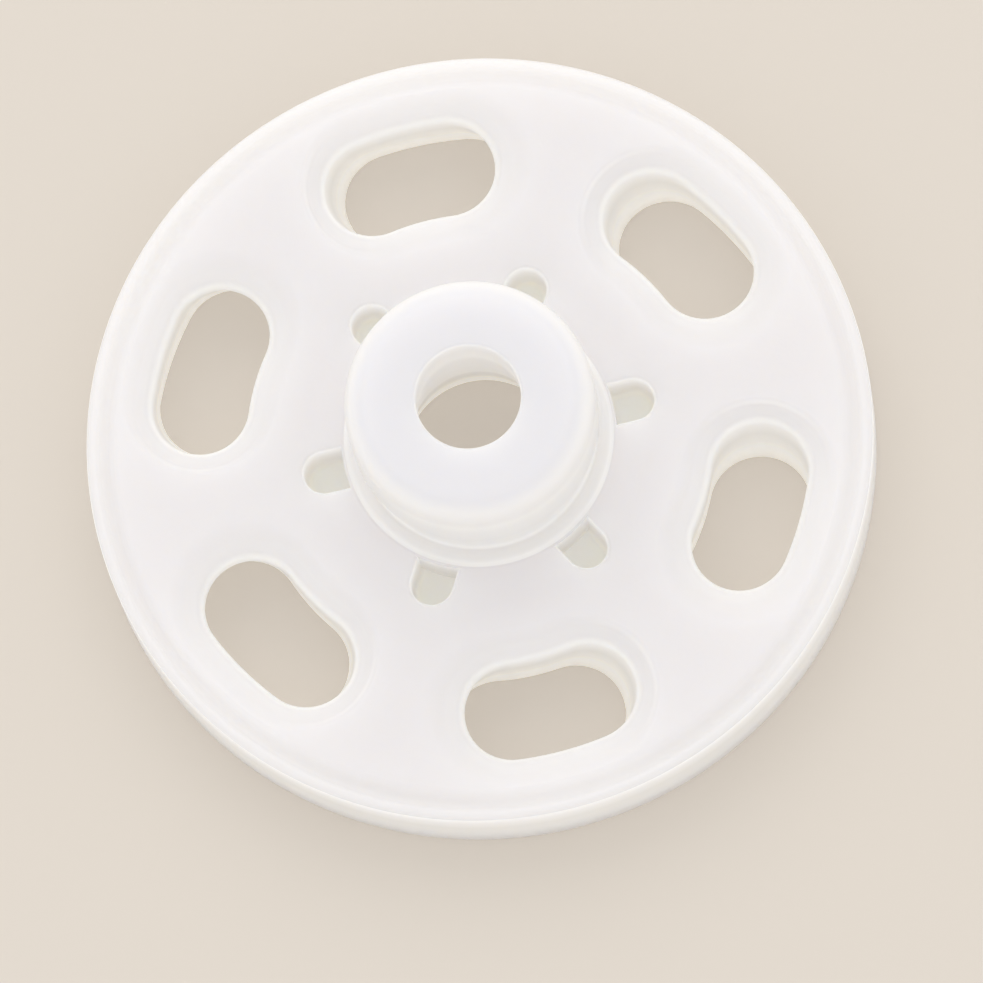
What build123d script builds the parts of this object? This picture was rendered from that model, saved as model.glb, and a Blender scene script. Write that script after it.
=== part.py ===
from build123d import *

import os
from math import asin, degrees, isclose

# Stud half of a sew-on snap fastener, moulded in one piece from clear plastic.
# Sizes are in millimetres. The origin is the centre of the flat back, and +Z
# points out through the stud. One sewing slot lies on +X.

# Flange, the round plate that is sewn down
flange_diameter = 20.0
flange_thickness = 2.3
back_chamfer = 0.15

# Shallow groove along the rim, between the face and the bead at the very edge
border_width = 0.75
groove_depth = 0.12
groove_slope = 0.2
bead_width = 0.25
bead_height = 0.1
bead_slope = 0.12
bead_rounding = 0.15

# Stud, which snaps into the other half
stud_diameter = 6.3
stud_height = 3.9
shoulder_rounding = 0.75
neck_undercut = 0.2
neck_height = 1.0
neck_slope = 0.4

# Collar, the low step round the foot of the stud
collar_width = 0.5
collar_height = 0.3
collar_slope = 0.1

# Centre hole, straight at the mouth and drafted wider towards the back
hole_diameter = 2.65
hole_land = 1.2
hole_back_diameter = 4.1
mouth_rounding = 0.1

# Sewing slots, curved along the rim, each in its own shallow dish
slot_count = 6
slot_length = 4.4
slot_width = 2.45
slot_draft = 0.06
slot_twist = 3.6
lip_chamfer = 0.3
dish_width = 0.6
dish_depth = 0.15
dish_slope = 60.0
dish_margin = 0.25

# Pockets just outside the collar, midway between the slots
pocket_width = 1.05
pocket_reach = 1.05
pocket_depth = 1.1
pocket_clearance = 0.05

# Heights above the back
face_level = flange_thickness
groove_level = face_level - groove_depth
rim_level = groove_level + bead_height
collar_level = face_level + collar_height
neck_level = face_level + neck_height
stud_level = neck_level + neck_slope
top_level = face_level + stud_height
land_level = top_level - hole_land
dish_level = face_level - dish_depth
pocket_level = face_level - pocket_depth

# Radii from the axis
flange_radius = flange_diameter / 2
face_radius = flange_radius - border_width
bead_radius = flange_radius - bead_width
stud_radius = stud_diameter / 2
neck_radius = stud_radius - neck_undercut
collar_radius = neck_radius + collar_width
hole_radius = hole_diameter / 2
hole_back_radius = hole_back_diameter / 2
slot_ring_radius = face_radius - dish_margin - dish_width - slot_width / 2
pocket_inner_radius = collar_radius + pocket_clearance
pocket_end_radius = pocket_inner_radius + pocket_reach - pocket_width / 2

# How near to its height an edge or a face has to lie to be picked
height_match = 0.001

slot_half_angle = degrees(asin((slot_length - slot_width) / 2 / slot_ring_radius))
slot_pitch = 360 / slot_count

# Half section of the round body, as corners of (radius, height)
section = [
    (hole_back_radius, 0),
    (flange_radius - back_chamfer, 0),
    (flange_radius, back_chamfer),
    (flange_radius, rim_level),
    (bead_radius, rim_level),
    (bead_radius - bead_slope, groove_level),
    (face_radius + groove_slope, groove_level),
    (face_radius, face_level),
    (collar_radius, face_level),
    (collar_radius - collar_slope, collar_level),
    (neck_radius, collar_level),
    (neck_radius, neck_level),
    (stud_radius, stud_level),
    (stud_radius, top_level),
    (hole_radius, top_level),
    (hole_radius, land_level),
]

# Corners of the section that are rounded, as (radius, height, rounding)
rounded_corners = [
    (flange_radius, rim_level, bead_rounding),
    (stud_radius, top_level, shoulder_rounding),
    (hole_radius, top_level, mouth_rounding),
]


def slot_outline(direction, width):
    """Outline of the slot whose middle lies in the given direction, in degrees from +X"""
    spine = CenterArc((0, 0), slot_ring_radius, direction - slot_half_angle, 2 * slot_half_angle)
    return SlotArc(spine, width)


with BuildPart() as stud_half:
    # Flange and stud are one turned form
    with BuildSketch(Plane.XZ):
        with BuildLine():
            Polyline(*section, close=True)
        make_face()
    revolve(axis=Axis.Z)
    for radius, level, rounding in rounded_corners:
        near_level = (level - height_match, level + height_match)
        circles = edges().filter_by(GeomType.CIRCLE).filter_by_position(Axis.Z, *near_level)
        fillet([circle for circle in circles if isclose(circle.radius, radius)], rounding)

    # Shallow dish round each sewing slot, with a sloping edge
    with BuildSketch(Plane.XY.offset(dish_level)):
        for slot in range(slot_count):
            slot_outline(slot * slot_pitch, slot_width + 2 * dish_width)
    extrude(amount=dish_depth, taper=-dish_slope, mode=Mode.SUBTRACT)

    # Sewing slots, which turn a little about the axis as they pass through the flange
    for slot in range(slot_count):
        with BuildSketch(Plane.XY):
            slot_outline(slot * slot_pitch - slot_twist / 2, slot_width + 2 * slot_draft)
        with BuildSketch(Plane.XY.offset(face_level)):
            slot_outline(slot * slot_pitch + slot_twist / 2, slot_width)
        loft(mode=Mode.SUBTRACT)

    # Blunt lips where the thread runs over the edge of a slot
    near_dish = (dish_level - height_match, dish_level + height_match)
    dish_floors = faces().filter_by_position(Axis.Z, *near_dish)
    lips = [edge for floor in dish_floors for wire in floor.inner_wires() for edge in wire.edges()]
    chamfer(lips, lip_chamfer)

    # Blind pockets that run out from the collar, between the slots
    with BuildSketch(Plane.XY.offset(pocket_level)):
        with PolarLocations(0, slot_count, start_angle=slot_pitch / 2):
            SlotArc(Line((0, 0), (pocket_end_radius, 0)), pocket_width)
        Circle(pocket_inner_radius, mode=Mode.SUBTRACT)
    extrude(amount=pocket_depth, mode=Mode.SUBTRACT)

stud_half.part.label = "stud_half"

os.makedirs("parts", exist_ok=True)
export_step(stud_half.part, "parts/stud_half.step")
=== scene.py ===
from math import asin, cos, pi, radians, sin, sqrt

import bmesh
import bpy
from mathutils import Matrix, Vector


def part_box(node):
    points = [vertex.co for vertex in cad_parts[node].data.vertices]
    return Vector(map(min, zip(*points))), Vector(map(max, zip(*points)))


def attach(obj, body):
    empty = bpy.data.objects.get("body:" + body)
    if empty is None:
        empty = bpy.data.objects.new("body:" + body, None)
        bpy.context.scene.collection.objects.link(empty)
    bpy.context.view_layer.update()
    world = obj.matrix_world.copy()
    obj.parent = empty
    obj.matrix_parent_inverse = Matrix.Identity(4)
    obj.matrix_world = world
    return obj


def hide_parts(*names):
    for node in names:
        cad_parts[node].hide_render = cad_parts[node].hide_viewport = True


# Stud half of a sew-on snap fastener, moulded in one piece from milky plastic.
# The shapes are worked in millimetres and brought to metres when the piece is finished.
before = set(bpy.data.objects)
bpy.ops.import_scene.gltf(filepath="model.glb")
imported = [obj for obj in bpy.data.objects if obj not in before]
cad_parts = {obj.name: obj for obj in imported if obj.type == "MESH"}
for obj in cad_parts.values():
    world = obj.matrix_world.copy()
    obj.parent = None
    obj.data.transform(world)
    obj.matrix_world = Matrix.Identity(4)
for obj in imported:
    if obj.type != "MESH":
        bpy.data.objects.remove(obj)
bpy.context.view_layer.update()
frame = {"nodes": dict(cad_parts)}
lowCorner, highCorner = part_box("stud_half")
millimetre = 0.001
print("frame loaded:", ", ".join(frame["nodes"]))

# Round body: plate, groove and bead along its rim, collar, stud and the hole through it
body = {
    "rimRadius": (highCorner.x - lowCorner.x) / 2 / millimetre,
    "topLevel": highCorner.z / millimetre,
    "faceLevel": 2.3,
    "backRounding": 0.15,
    "borderWidth": 0.75,
    "grooveDepth": 0.12,
    "grooveSlope": 0.2,
    "faceRounding": 0.1,
    "grooveRounding": 0.07,
    "beadWidth": 0.25,
    "beadHeight": 0.1,
    "beadSlope": 0.12,
    "beadRounding": 0.06,
    "rimRounding": 0.15,
    "collarRadius": 3.45,
    "collarLevel": 2.5,
    "collarSlope": 0.2,
    "collarRounding": 0.15,
    "collarToe": 0.04,
    "studRadius": 3.15,
    "shoulderRounding": 0.7,
    "neckRadius": 2.95,
    "neckLevel": 3.3,
    "widestLevel": 3.7,
    "neckRounding": 0.2,
    "holeRadius": 1.325,
    "holeBackRadius": 2.05,
    "holeLand": 1.2,
    "mouthRounding": 0.1,
    "roundingSteps": 7,
    "turnSteps": 240,
    "longestEdge": 0.9,
}

# Sewing slots: dish, rounded lip, wall that turns as it goes down, soft lower edge
slots = {
    "count": 6,
    "length": 4.4,
    "halfWidth": 1.225,
    "ringRadius": 7.175,
    "twist": 3.6,
    "draft": 0.06,
    "dishWidth": 0.38,
    "dishDepth": 0.11,
    "dishSlope": 0.48,
    "dishFall": 0.02,
    "dishSteps": 10,
    "lipRounding": 0.3,
    "lipSteps": 8,
    "backRounding": 0.15,
    "backSteps": 4,
    "wallSteps": 4,
    "sideSteps": 10,
    "capSteps": 26,
    "clearance": 0.4,
}

# Blind pockets just outside the collar
pockets = {
    "halfWidth": 0.525,
    "wallRadius": 3.5,
    "endRadius": 4.025,
    "depth": 1.1,
    "edgeRounding": 0.12,
    "floorRounding": 0.2,
    "roundingSteps": 5,
    "sideSteps": 4,
    "capSteps": 16,
    "clearance": 0.5,
}

# How near points lie to be joined, and how far an edge bends before it shows as sharp
joins = {
    "outlineEnds": 0.001,
    "weld": 0.0005,
    "sharpAngle": 40.0,
}


def polar(radius, angle, level):
    return Vector((radius * cos(angle), radius * sin(angle), level))


def strokeArc(bm, vert, centre, angle, steps):
    # draws on from a vertex round a centre, and gives back the vertex it ends on
    made = bmesh.ops.spin(bm, geom=[vert], cent=centre, axis=(0, 0, 1), dvec=(0, 0, 0),
                          angle=angle, steps=steps, use_merge=False, use_duplicate=False)
    return next(part for part in made["geom_last"] if isinstance(part, bmesh.types.BMVert))


def strokeLine(bm, vert, end):
    made = bmesh.ops.extrude_vert_indiv(bm, verts=[vert])
    made["verts"][0].co = end
    return made["verts"][0]


def closeRing(bm, first, last, before):
    # joins the two ends of an outline and gives back its edges
    bmesh.ops.remove_doubles(bm, verts=[first, last], dist=joins["outlineEnds"])
    return [edge for edge in bm.edges if edge not in before]


def faceOutward(bm):
    bmesh.ops.recalc_face_normals(bm, faces=bm.faces)
    if bm.calc_volume(signed=True) < 0:
        bmesh.ops.reverse_faces(bm, faces=bm.faces)


def stackRings(bm, rings):
    # walls between neighbouring outlines, and a lid on each end
    for upper, lower in zip(rings, rings[1:]):
        bmesh.ops.bridge_loops(bm, edges=upper + lower)
    for end in (rings[0], rings[-1]):
        bmesh.ops.contextual_create(bm, geom=end)
    faceOutward(bm)


def turnRound(bm, verts, angle):
    bmesh.ops.rotate(bm, verts=verts, cent=(0, 0, 0), matrix=Matrix.Rotation(angle, 3, "Z"))


def repeatRound(bm, count, firstTurn):
    # the same shape again at even turns about the axis
    geom = bm.verts[:] + bm.edges[:] + bm.faces[:]
    turnRound(bm, bm.verts, firstTurn)
    for copy in range(1, count):
        made = bmesh.ops.duplicate(bm, geom=geom)
        verts = [part for part in made["geom"] if isinstance(part, bmesh.types.BMVert)]
        turnRound(bm, verts, 2 * pi * copy / count)


def finishMesh(bm, name):
    mesh = bpy.data.meshes.new(name)
    bm.to_mesh(mesh)
    bm.free()
    piece = bpy.data.objects.new(name, mesh)
    bpy.context.scene.collection.objects.link(piece)
    return piece


def turnBody():
    # half section with rounded corners, spun round the axis
    b = body
    face, rim = b["faceLevel"], b["rimRadius"]
    groove = face - b["grooveDepth"]
    bead = groove + b["beadHeight"]
    faceRadius = rim - b["borderWidth"]
    beadRadius = rim - b["beadWidth"]
    corners = [
        ((b["holeBackRadius"], 0), b["backRounding"]),
        ((rim, 0), b["backRounding"]),
        ((rim, bead), b["rimRounding"]),
        ((beadRadius, bead), b["beadRounding"]),
        ((beadRadius - b["beadSlope"], groove), b["grooveRounding"]),
        ((faceRadius + b["grooveSlope"], groove), b["grooveRounding"]),
        ((faceRadius, face), b["faceRounding"]),
        ((b["collarRadius"], face), b["collarToe"]),
        ((b["collarRadius"] - b["collarSlope"], b["collarLevel"]), b["collarRounding"]),
        ((b["neckRadius"], b["collarLevel"]), b["neckRounding"]),
        ((b["neckRadius"], b["neckLevel"]), b["neckRounding"]),
        ((b["studRadius"], b["widestLevel"]), b["neckRounding"]),
        ((b["studRadius"], b["topLevel"]), b["shoulderRounding"]),
        ((b["holeRadius"], b["topLevel"]), b["mouthRounding"]),
        ((b["holeRadius"], b["topLevel"] - b["holeLand"]), b["neckRounding"]),
    ]
    bm = bmesh.new()
    verts = [bm.verts.new((radius, 0, level)) for (radius, level), rounding in corners]
    bm.faces.new(verts)
    for vert, (corner, rounding) in zip(verts, corners):
        bmesh.ops.bevel(bm, geom=[vert], offset=rounding, offset_type="OFFSET", profile=0.5,
                        segments=b["roundingSteps"], affect="VERTICES", material=-1)
    for edge in list(bm.edges):
        cuts = int(edge.calc_length() / b["longestEdge"])
        if cuts:
            bmesh.ops.subdivide_edges(bm, edges=[edge], cuts=cuts)
    bmesh.ops.delete(bm, geom=bm.faces[:], context="FACES_ONLY")
    bmesh.ops.spin(bm, geom=bm.verts[:] + bm.edges[:], cent=(0, 0, 0), axis=(0, 0, 1), dvec=(0, 0, 0),
                   angle=2 * pi, steps=b["turnSteps"], use_merge=True, use_duplicate=False)
    faceOutward(bm)
    return finishMesh(bm, "studHalf")


def slotRing(bm, offset, level, turn):
    # outline of a slot that is wider by the offset, turned about the axis
    s = slots
    half = asin((s["length"] / 2 - s["halfWidth"]) / s["ringRadius"])
    halfWidth = s["halfWidth"] + offset
    before = set(bm.edges)
    start, end = turn - half, turn + half
    first = bm.verts.new(polar(s["ringRadius"] + halfWidth, start, level))
    axis = Vector((0, 0, level))
    vert = strokeArc(bm, first, axis, 2 * half, s["sideSteps"])
    vert = strokeArc(bm, vert, polar(s["ringRadius"], end, level), pi, s["capSteps"])
    vert = strokeArc(bm, vert, axis, -2 * half, s["sideSteps"])
    vert = strokeArc(bm, vert, polar(s["ringRadius"], start, level), pi, s["capSteps"])
    return closeRing(bm, first, vert, before)


def slotCutters():
    s = slots
    face = body["faceLevel"]
    lipFoot = face - s["dishDepth"] - s["dishFall"] - s["lipRounding"]
    halfTwist = radians(s["twist"]) / 2
    bm = bmesh.new()
    rings = [slotRing(bm, s["dishWidth"] + s["dishSlope"], face + s["clearance"], 0)]
    for step in range(s["dishSteps"] + 1):  # smooth slope down to the dish, with half of the turn
        share = step / s["dishSteps"]
        offset = s["dishWidth"] + s["dishSlope"] * (1 - share)
        level = face - s["dishDepth"] * (1 - cos(pi * share)) / 2
        rings.append(slotRing(bm, offset, level, halfTwist * share))
    for step in range(s["lipSteps"] + 1):  # lip, a quarter round
        angle = pi / 2 * step / s["lipSteps"]
        offset = s["lipRounding"] * (1 - sin(angle))
        level = lipFoot + s["lipRounding"] * cos(angle)
        rings.append(slotRing(bm, offset, level, halfTwist))
    for step in range(1, s["wallSteps"] + 1):  # wall, which turns on its way down
        share = step / s["wallSteps"]
        level = lipFoot + (s["backRounding"] - lipFoot) * share
        rings.append(slotRing(bm, s["draft"] * share, level, halfTwist * (1 - 2 * share)))
    for step in range(1, s["backSteps"] + 1):  # soft edge at the back
        angle = pi / 2 * step / s["backSteps"]
        offset = s["draft"] + s["backRounding"] * (1 - cos(angle))
        rings.append(slotRing(bm, offset, s["backRounding"] * (1 - sin(angle)), -halfTwist))
    rings.append(slotRing(bm, s["draft"] + s["backRounding"], -s["clearance"], -halfTwist))
    stackRings(bm, rings)
    repeatRound(bm, s["count"], 0)
    return finishMesh(bm, "slotCutters")


def pocketRing(bm, offset, level):
    # outline of a pocket: round at its outer end, along the collar at its inner one
    p = pockets
    halfWidth = p["halfWidth"] + offset
    corner = sqrt(p["wallRadius"] ** 2 - halfWidth ** 2)
    before = set(bm.edges)
    first = bm.verts.new((corner, -halfWidth, level))
    vert = strokeLine(bm, first, Vector((p["endRadius"], -halfWidth, level)))
    vert = strokeArc(bm, vert, (p["endRadius"], 0, level), pi, p["capSteps"])
    vert = strokeLine(bm, vert, Vector((corner, halfWidth, level)))
    vert = strokeArc(bm, vert, (0, 0, level), -2 * asin(halfWidth / p["wallRadius"]), p["sideSteps"])
    return closeRing(bm, first, vert, before)


def pocketCutters():
    p = pockets
    face = body["faceLevel"]
    floor = face - p["depth"]
    bm = bmesh.new()
    rings = [pocketRing(bm, p["edgeRounding"], face + p["clearance"])]
    for step in range(p["roundingSteps"] + 1):  # softened upper edge
        angle = pi / 2 * step / p["roundingSteps"]
        offset = p["edgeRounding"] * (1 - sin(angle))
        rings.append(pocketRing(bm, offset, face - p["edgeRounding"] * (1 - cos(angle))))
    for step in range(p["roundingSteps"] + 1):  # rounded corner between wall and floor
        angle = pi / 2 * step / p["roundingSteps"]
        offset = -p["floorRounding"] * (1 - cos(angle))
        rings.append(pocketRing(bm, offset, floor + p["floorRounding"] * (1 - sin(angle))))
    stackRings(bm, rings)
    repeatRound(bm, slots["count"], pi / slots["count"])
    return finishMesh(bm, "pocketCutters")


def cutAway(piece, cutters):
    for cutter in cutters:
        cut = piece.modifiers.new("cut", "BOOLEAN")
        cut.operation = "DIFFERENCE"
        cut.solver = "EXACT"
        cut.object = cutter
    depsgraph = bpy.context.evaluated_depsgraph_get()
    mesh = bpy.data.meshes.new_from_object(piece.evaluated_get(depsgraph))
    piece.modifiers.clear()
    piece.data = mesh
    for cutter in cutters:
        bpy.data.objects.remove(cutter)


def smoothPiece(piece):
    # to metres, smooth but for its sharp corners, with flat faces kept flat in shading
    sharpAngle = radians(joins["sharpAngle"])
    bm = bmesh.new()
    bm.from_mesh(piece.data)
    bmesh.ops.remove_doubles(bm, verts=bm.verts, dist=joins["weld"])
    bmesh.ops.dissolve_degenerate(bm, edges=bm.edges, dist=joins["weld"])
    faceOutward(bm)
    bmesh.ops.scale(bm, vec=(millimetre,) * 3, verts=bm.verts)
    for face in bm.faces:
        face.smooth = True
    for edge in bm.edges:
        edge.smooth = edge.calc_face_angle(0) < sharpAngle
    bm.to_mesh(piece.data)
    bm.free()
    weighted = piece.modifiers.new("flatFaces", "WEIGHTED_NORMAL")
    weighted.keep_sharp = True


# Milky plastic. Light that the real thing carries about inside it is partly stood in for by tints.
# A tint has its level in millimetres, a ring shade its radius, and a slope the square of the
# upward part of the surface's direction.
plastic = {
    # painted light and shade on faces: lighter and warm on the pocket floors, lighter from the collar
    # up, a little darker in the groove, darker and cooler on the stud's top
    "faceColourAndPaintedLight": [  # where the surface faces up or down
        (0.4, (0.763, 0.745, 0.756, 1)),
        (1.1, (1.0, 0.95, 0.86, 1)),
        (1.25, (1.0, 0.95, 0.86, 1)),
        (1.5, (0.82, 0.795, 0.77, 1)),
        (2.15, (0.753, 0.737, 0.742, 1)),
        (2.3, (0.763, 0.745, 0.756, 1)),
        (2.45, (0.82, 0.805, 0.795, 1)),
        (5.7, (0.82, 0.81, 0.81, 1)),
        (6.15, (0.705, 0.702, 0.737, 1)),
    ],
    # painted light on upright walls for light coming out of the plastic: brightest at the slots'
    # foot, near the face and on the stud's neck, with painted shade partway down the slot walls
    "wallColourAndPaintedLight": [  # where it stands upright
        (0.0, (1.0, 0.985, 0.94, 1)),
        (0.6, (0.96, 0.945, 0.91, 1)),
        (1.4, (0.83, 0.815, 0.785, 1)),
        (1.9, (0.89, 0.87, 0.845, 1)),
        (2.15, (1.0, 0.985, 0.95, 1)),
        (3.4, (1.0, 0.985, 0.96, 1)),
        (4.6, (0.93, 0.92, 0.905, 1)),
        (5.1, (0.93, 0.92, 0.905, 1)),
        (5.7, (0.8, 0.79, 0.79, 1)),
    ],
    # painted glow: emission that stands in for light the plastic carries down to the slots' lower
    # edges
    "paintedGlowColours": [  # light carried down to the lower edges of the slots
        (0.0, (0.25, 0.24, 0.2, 1)),
        (0.5, (0.19, 0.183, 0.153, 1)),
        (1.0, (0.06, 0.058, 0.05, 1)),
        (1.5, (0.0, 0.0, 0.0, 1)),
    ],
    # painted light round the stud's foot and painted shade at the rim's edge
    "ringPaintedLightAndShade": [  # share of the face's colour, most round the stud's foot
        (3.3, 0.95),
        (3.5, 1.0),
        (4.4, 0.96),
        (9.8, 0.96),
        (9.9, 0.93),
    ],
    "slopeFrom": 0.2,
    "slopeTo": 0.88,
    "rimSlopeTo": 0.35,
    "rimFrom": 9.3,
    "rimTo": 9.6,
    "roughness": 0.42,
    "ior": 1.49,
    "gloss": 0.3,
    "scatterWeight": 1.0,
    "scatterRadius": (1.0, 0.92, 0.8),
    "scatterDepth": 0.004,
    "glowStrength": 1.0,
    "stoppedLight": 0.35,
    "noiseDetail": 0.0,
    "rippleScale": 900.0,
    "rippleHeight": 0.000004,
    "grainScale": 9000.0,
    "grainHeight": 0.0000012,
}


def addNode(tree, kind, sockets=None, **settings):
    node = tree.nodes.new(kind)
    for name, value in settings.items():
        setattr(node, name, value)
    for name, value in (sockets or {}).items():
        node.inputs[name].default_value = value
    return node


def addRamp(tree, value, colours):
    # colour ramp along a value that runs from 0 to 1
    ramp = addNode(tree, "ShaderNodeValToRGB")
    stops = ramp.color_ramp.elements
    while len(stops) < len(colours):
        stops.new(1)
    for stop, (position, colour) in zip(stops, colours):
        stop.position = position
        stop.color = colour
    tree.links.new(value, ramp.inputs["Fac"])
    return ramp.outputs["Color"]


def heightRamp(tree, height, tints):
    return addRamp(tree, height, [(level / body["topLevel"], colour) for level, colour in tints])


def blendColours(tree, first, second, share=None, **settings):
    # each colour is a fixed one or comes from a node; without a share the blend is full
    blend = addNode(tree, "ShaderNodeMix", {"Factor": 1}, data_type="RGBA", **settings)
    firstSocket, secondSocket, result = blend.inputs[6], blend.inputs[7], blend.outputs[2]
    for socket, colour in ((firstSocket, first), (secondSocket, second)):
        if isinstance(colour, tuple):
            socket.default_value = colour
        else:
            tree.links.new(colour, socket)
    if share is not None:
        tree.links.new(share, blend.inputs["Factor"])
    return result


def multiply(tree, first, second):
    product = addNode(tree, "ShaderNodeMath", operation="MULTIPLY")
    tree.links.new(first, product.inputs[0])
    tree.links.new(second, product.inputs[1])
    return product.outputs[0]


def placeOnPart(tree, place):
    # height as a share of the whole, and distance from the axis
    parts = addNode(tree, "ShaderNodeSeparateXYZ")
    height = addNode(tree, "ShaderNodeMapRange", {"From Max": body["topLevel"] * millimetre})
    flat = addNode(tree, "ShaderNodeCombineXYZ")
    radius = addNode(tree, "ShaderNodeVectorMath", operation="LENGTH")
    tree.links.new(place.outputs["Object"], parts.inputs[0])
    tree.links.new(parts.outputs["Z"], height.inputs["Value"])
    tree.links.new(parts.outputs["X"], flat.inputs["X"])
    tree.links.new(parts.outputs["Y"], flat.inputs["Y"])
    tree.links.new(flat.outputs[0], radius.inputs[0])
    return height.outputs["Result"], radius.outputs["Value"]


def insideRim(tree, radius):
    # 1 all over the part, down to 0 at the rim, to keep the painted wall light and painted glow off
    # the rim
    inside = addNode(tree, "ShaderNodeMapRange", {
        "From Min": plastic["rimTo"] * millimetre,
        "From Max": plastic["rimFrom"] * millimetre,
    })
    tree.links.new(radius, inside.inputs["Value"])
    return inside.outputs["Result"]


def uprightShare(tree, place, inside):
    # 0 where the surface faces up or down, 1 on walls; the rim has to be steeper to count as a wall.
    # It sets where the painted wall light and painted glow go
    facing = addNode(tree, "ShaderNodeSeparateXYZ")
    slopeTo = addNode(tree, "ShaderNodeMapRange", {
        "To Min": plastic["rimSlopeTo"],
        "To Max": plastic["slopeTo"],
    })
    upright = addNode(tree, "ShaderNodeMapRange", {"From Max": plastic["slopeFrom"]},
                      interpolation_type="SMOOTHSTEP")
    tree.links.new(place.outputs["Normal"], facing.inputs[0])
    tree.links.new(inside, slopeTo.inputs["Value"])
    tree.links.new(slopeTo.outputs["Result"], upright.inputs["From Min"])
    tree.links.new(multiply(tree, facing.outputs["Z"], facing.outputs["Z"]), upright.inputs["Value"])
    return upright.outputs["Result"]


def colourWithPaintedLight(tree, height, radius, upright):
    # painted light and shade: light and warm in the pockets, darker and cool on the stud's top,
    # bright on walls for the light they let out, lit round the stud's foot and shaded at the rim
    rim = body["rimRadius"]
    across = addNode(tree, "ShaderNodeMapRange", {"From Max": rim * millimetre})
    tree.links.new(radius, across.inputs["Value"])
    shades = [(reach / rim, (shade, shade, shade, 1)) for reach, shade in plastic["ringPaintedLightAndShade"]]
    ringShade = addRamp(tree, across.outputs["Result"], shades)
    faceTint = heightRamp(tree, height, plastic["faceColourAndPaintedLight"])
    wallTint = heightRamp(tree, height, plastic["wallColourAndPaintedLight"])
    shadedFace = blendColours(tree, faceTint, ringShade, blend_type="MULTIPLY")
    return blendColours(tree, shadedFace, wallTint, upright)


def paintedSlotGlow(tree, height, inside, upright):
    # painted glow on upright walls near the back, and none on the rim
    glowTint = heightRamp(tree, height, plastic["paintedGlowColours"])
    return blendColours(tree, (0, 0, 0, 1), glowTint, multiply(tree, upright, inside))


def lightStopped(tree):
    # milky all through: it hides what is behind it, but lets part of the light pass
    path = addNode(tree, "ShaderNodeLightPath")
    stopped = addNode(tree, "ShaderNodeMapRange", {"To Min": plastic["stoppedLight"]})
    tree.links.new(path.outputs["Is Camera Ray"], stopped.inputs["Value"])
    return stopped.outputs["Result"]


def surfaceBump(tree, place, scale, height):
    noise = addNode(tree, "ShaderNodeTexNoise", {"Scale": scale, "Detail": plastic["noiseDetail"]})
    bump = addNode(tree, "ShaderNodeBump", {"Distance": height})
    tree.links.new(place.outputs["Object"], noise.inputs["Vector"])
    tree.links.new(noise.outputs["Fac"], bump.inputs["Height"])
    return bump


def milkyPlastic():
    p = plastic
    material = bpy.data.materials.new("milkyPlastic")
    material.use_nodes = True
    tree = material.node_tree
    link = tree.links.new
    shader = tree.nodes["Principled BSDF"]
    shader.subsurface_method = "RANDOM_WALK"
    shader.inputs["Roughness"].default_value = p["roughness"]
    shader.inputs["IOR"].default_value = p["ior"]
    shader.inputs["Specular IOR Level"].default_value = p["gloss"]
    shader.inputs["Subsurface Weight"].default_value = p["scatterWeight"]
    shader.inputs["Subsurface Radius"].default_value = p["scatterRadius"]
    shader.inputs["Subsurface Scale"].default_value = p["scatterDepth"]
    # the emission is a painted glow at the slots' lower edges
    shader.inputs["Emission Strength"].default_value = p["glowStrength"]
    material.cycles.emission_sampling = "NONE"  # too faint to light anything else
    place = addNode(tree, "ShaderNodeTexCoord")
    height, radius = placeOnPart(tree, place)
    inside = insideRim(tree, radius)
    upright = uprightShare(tree, place, inside)
    # base colour with painted light and shade, and the painted glow as emission
    link(colourWithPaintedLight(tree, height, radius, upright), shader.inputs["Base Color"])
    link(paintedSlotGlow(tree, height, inside, upright), shader.inputs["Emission Color"])
    link(lightStopped(tree), shader.inputs["Alpha"])
    # slow ripples of the moulding, and a fine grain
    ripple = surfaceBump(tree, place, p["rippleScale"], p["rippleHeight"])
    grain = surfaceBump(tree, place, p["grainScale"], p["grainHeight"])
    link(ripple.outputs["Normal"], grain.inputs["Normal"])
    link(grain.outputs["Normal"], shader.inputs["Normal"])
    return material


# Floor and light, in metres, with angles in degrees
stage = {
    "floorSize": 2.0,
    "floorSteps": 8,
    "floorDrop": 0.00002,  # just clear of the flat back
    "floorColour": (0.667, 0.61, 0.543, 1),
    "floorRoughness": 0.9,
    "skyColour": (1.0, 1.0, 1.0, 1),
    "skyStrength": 0.995,
    "lampPower": 0.72,
    "lampSize": 0.5,
    "lampColour": (1.0, 0.98, 0.95),
    "lampDistance": 0.5,
    "lampTilt": 42.0,
    "lampHeading": 115.0,
}

# View of the photograph, with angles in degrees about the part's axis from +X
view = {
    "tilt": 14.9,
    "heading": -57.51,
    "pictureUp": 107.27,
    "distance": 0.3,
    "nearest": 0.01,
    "pixelsPerMetre": 39183,
    "imageSize": 983,
    "rightShift": -6.385,
    "upShift": 33.135,
    "sensor": 36.0,
}


def towards(tilt, heading):
    # direction that leans away from straight up by the tilt
    lean, turn = radians(tilt), radians(heading)
    return Vector((sin(lean) * cos(turn), sin(lean) * sin(turn), cos(lean)))


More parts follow.
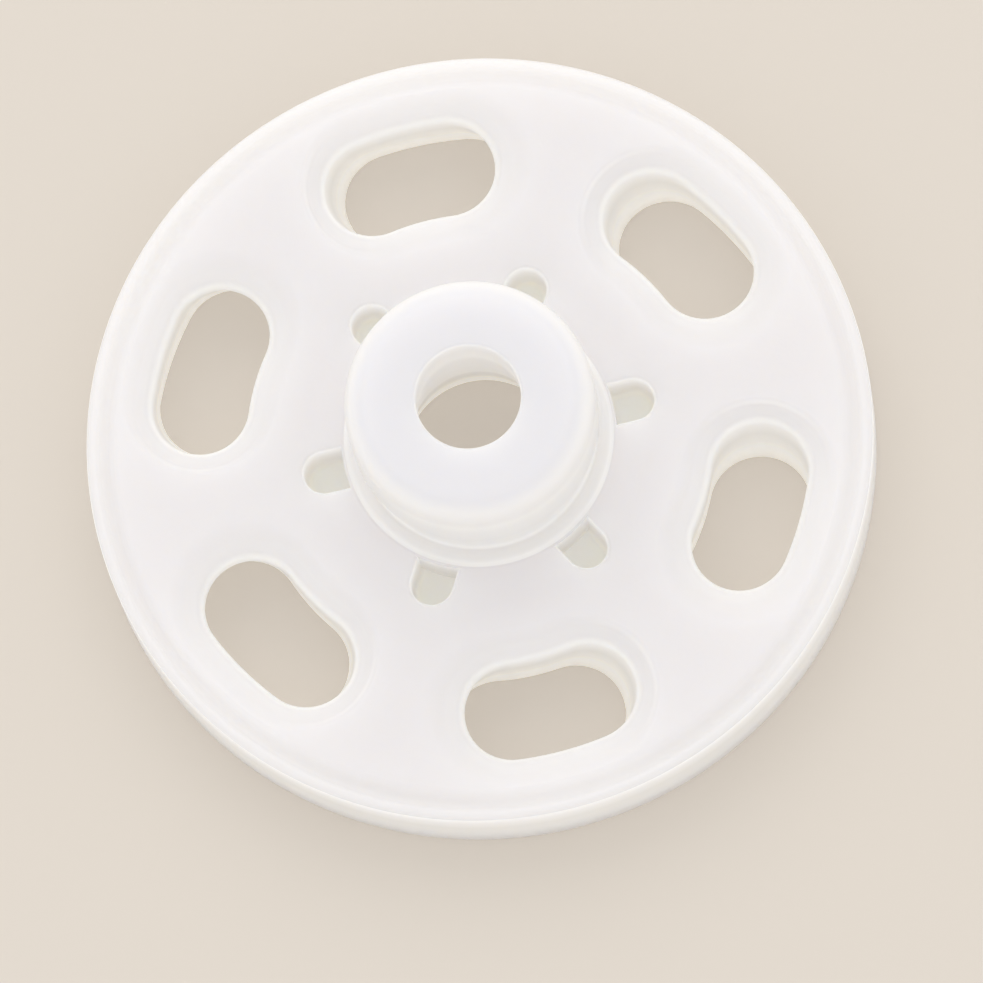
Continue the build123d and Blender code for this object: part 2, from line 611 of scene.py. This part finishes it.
def makeFloor():
    steps = stage["floorSteps"]
    lowered = Matrix.Translation((0, 0, -stage["floorDrop"]))
    bm = bmesh.new()
    bmesh.ops.create_grid(bm, x_segments=steps, y_segments=steps, size=stage["floorSize"],
                          matrix=lowered)
    floor = finishMesh(bm, "floor")
    material = bpy.data.materials.new("paleFloor")
    material.use_nodes = True
    shader = material.node_tree.nodes["Principled BSDF"]
    shader.inputs["Base Color"].default_value = stage["floorColour"]
    shader.inputs["Roughness"].default_value = stage["floorRoughness"]
    floor.data.materials.append(material)


def makeLights():
    world = bpy.data.worlds.new("softStudio")
    world.use_nodes = True
    background = world.node_tree.nodes["Background"]
    background.inputs["Color"].default_value = stage["skyColour"]
    background.inputs["Strength"].default_value = stage["skyStrength"]
    bpy.context.scene.world = world
    lamp = bpy.data.lights.new("softWindow", "AREA")
    lamp.energy = stage["lampPower"]
    lamp.size = stage["lampSize"]
    lamp.color = stage["lampColour"]
    lampObject = bpy.data.objects.new("softWindow", lamp)
    direction = towards(stage["lampTilt"], stage["lampHeading"])
    lampObject.location = direction * stage["lampDistance"]
    lampObject.rotation_mode = "QUATERNION"
    lampObject.rotation_quaternion = direction.to_track_quat("Z", "Y")
    bpy.context.scene.collection.objects.link(lampObject)


def makeCamera():
    toCamera = towards(view["tilt"], view["heading"])
    pictureUp = radians(view["pictureUp"])
    up = Vector((cos(pictureUp), sin(pictureUp), 0))
    up = (up - toCamera * up.dot(toCamera)).normalized()
    right = up.cross(toCamera)
    camera = bpy.data.cameras.new("photoView")
    camera.sensor_width = view["sensor"]
    camera.lens = view["pixelsPerMetre"] * view["distance"] / view["imageSize"] * view["sensor"]
    camera.clip_start = view["nearest"]
    cameraObject = bpy.data.objects.new("photoView", camera)
    aside = right * view["rightShift"] + up * view["upShift"]
    moved = Matrix.Translation(toCamera * view["distance"] - aside / view["pixelsPerMetre"])
    turned = Matrix((right, up, toCamera)).transposed().to_4x4()
    cameraObject.matrix_world = moved @ turned
    bpy.context.scene.collection.objects.link(cameraObject)
    bpy.context.scene.camera = cameraObject


makeCamera()
makeLights()
makeFloor()
print("stage set")

studHalf = turnBody()
cutAway(studHalf, [slotCutters(), pocketCutters()])
smoothPiece(studHalf)
studHalf.data.materials.append(milkyPlastic())
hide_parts("stud_half")
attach(studHalf, "root")
print("stud half made:", len(studHalf.data.polygons), "faces")

bpy.context.scene.view_settings.view_transform = "Standard"
bpy.context.view_layer.update()
